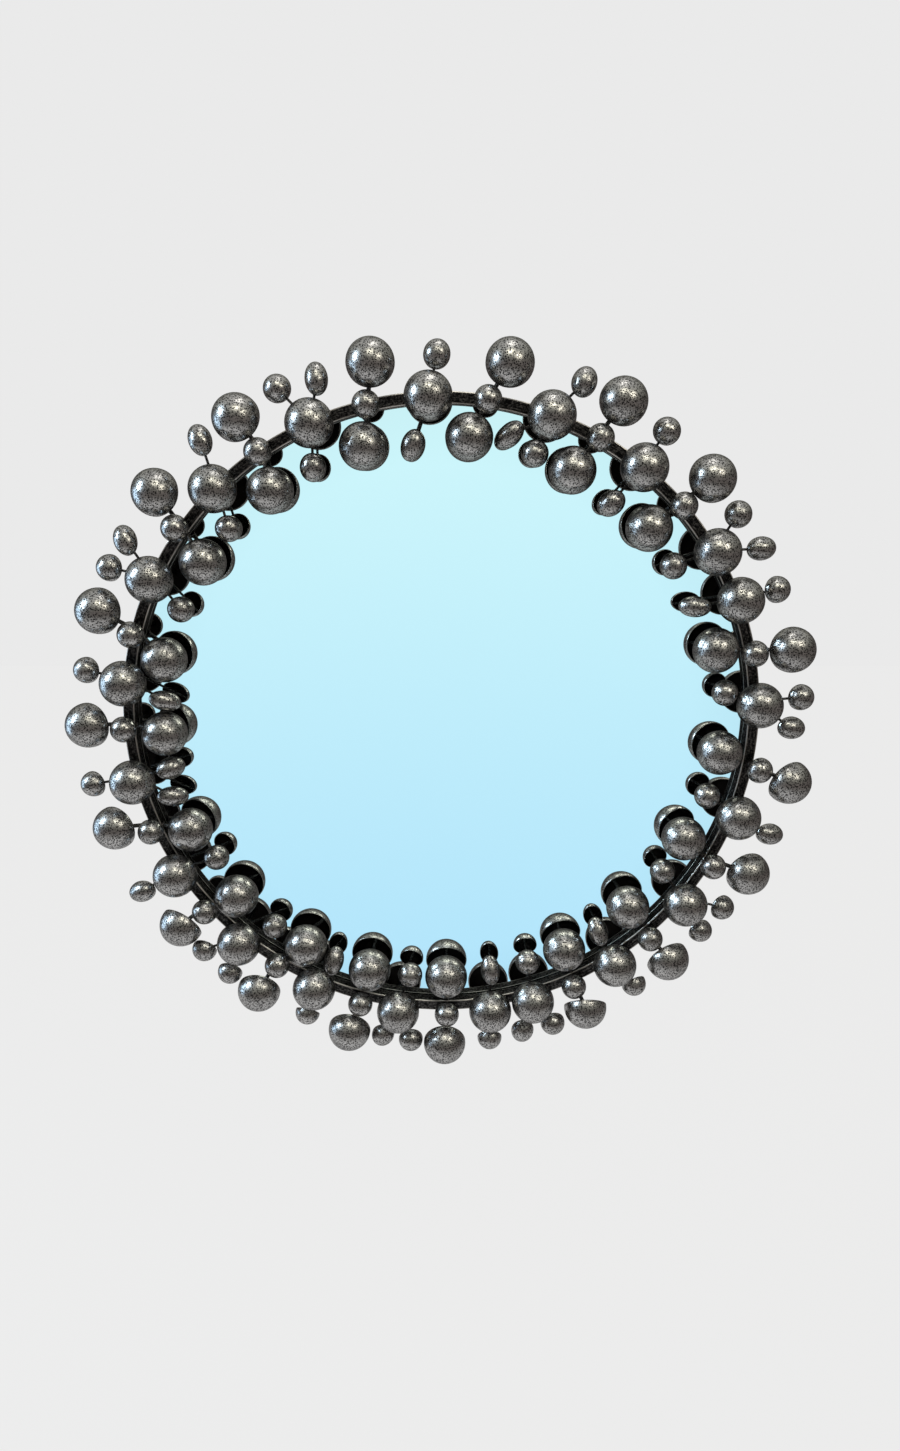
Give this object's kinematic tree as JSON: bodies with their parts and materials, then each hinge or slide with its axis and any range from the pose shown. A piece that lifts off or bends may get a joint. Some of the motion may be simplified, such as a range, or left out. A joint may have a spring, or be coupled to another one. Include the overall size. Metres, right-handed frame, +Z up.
{
  "type": "bubble wall mirror",
  "caption": "Round wall mirror in a square iron ring crowned with hollow metal half-balls of two sizes, on posts, stems and wires outside and inside the ring.",
  "frame": {"origin": "on the wall plane, behind the centre of the glass", "axes": "+Z up as it hangs, +Y into the wall, so the mirror looks along -Y; +X to the right seen from the front"},
  "size_m": [1.0604, 0.094, 1.0525],
  "materials": {
    "bubble_metal": "burnished gunmetal with a fine mottled silver speckle",
    "rod_iron": "blackened bare iron, dull",
    "blackened_iron": "grainy brown-black iron, waxed",
    "silvered_glass": "clear silvered mirror",
    "backing_board": "plain brown fibreboard",
    "zinc_steel": "dull zinc-plated steel",
    "bumper_rubber": "matte black rubber"
  },
  "bodies": {
    "root": {"ring_bar": "blackened_iron", "mirror_glass": "silvered_glass", "backing_board": "backing_board", "retaining_tabs": "zinc_steel", "hanging_bracket_left": "zinc_steel", "hanging_bracket_right": "zinc_steel", "wall_bumper_left": "bumper_rubber", "wall_bumper_right": "bumper_rubber", "large_ring_bubbles_left": "bubble_metal", "large_ring_bubbles_right": "bubble_metal", "small_ring_bubbles_left": "bubble_metal", "small_ring_bubbles_right": "bubble_metal", "large_outer_bubbles_left": "bubble_metal", "large_outer_bubbles_right": "bubble_metal", "large_inner_bubbles_left": "bubble_metal", "large_inner_bubbles_right": "bubble_metal", "small_outer_bubbles_left": "bubble_metal", "small_outer_bubbles_right": "bubble_metal", "small_inner_bubbles_left": "bubble_metal", "small_inner_bubbles_right": "bubble_metal", "large_ring_posts_left": "rod_iron", "large_ring_posts_right": "rod_iron", "small_ring_posts_left": "rod_iron", "small_ring_posts_right": "rod_iron", "outer_stems_left": "rod_iron", "outer_stems_right": "rod_iron", "inner_stems_left": "rod_iron", "inner_stems_right": "rod_iron", "outer_wires_left": "rod_iron", "outer_wires_right": "rod_iron", "inner_wires_left": "rod_iron", "inner_wires_right": "rod_iron"}
  },
  "joints": []
}
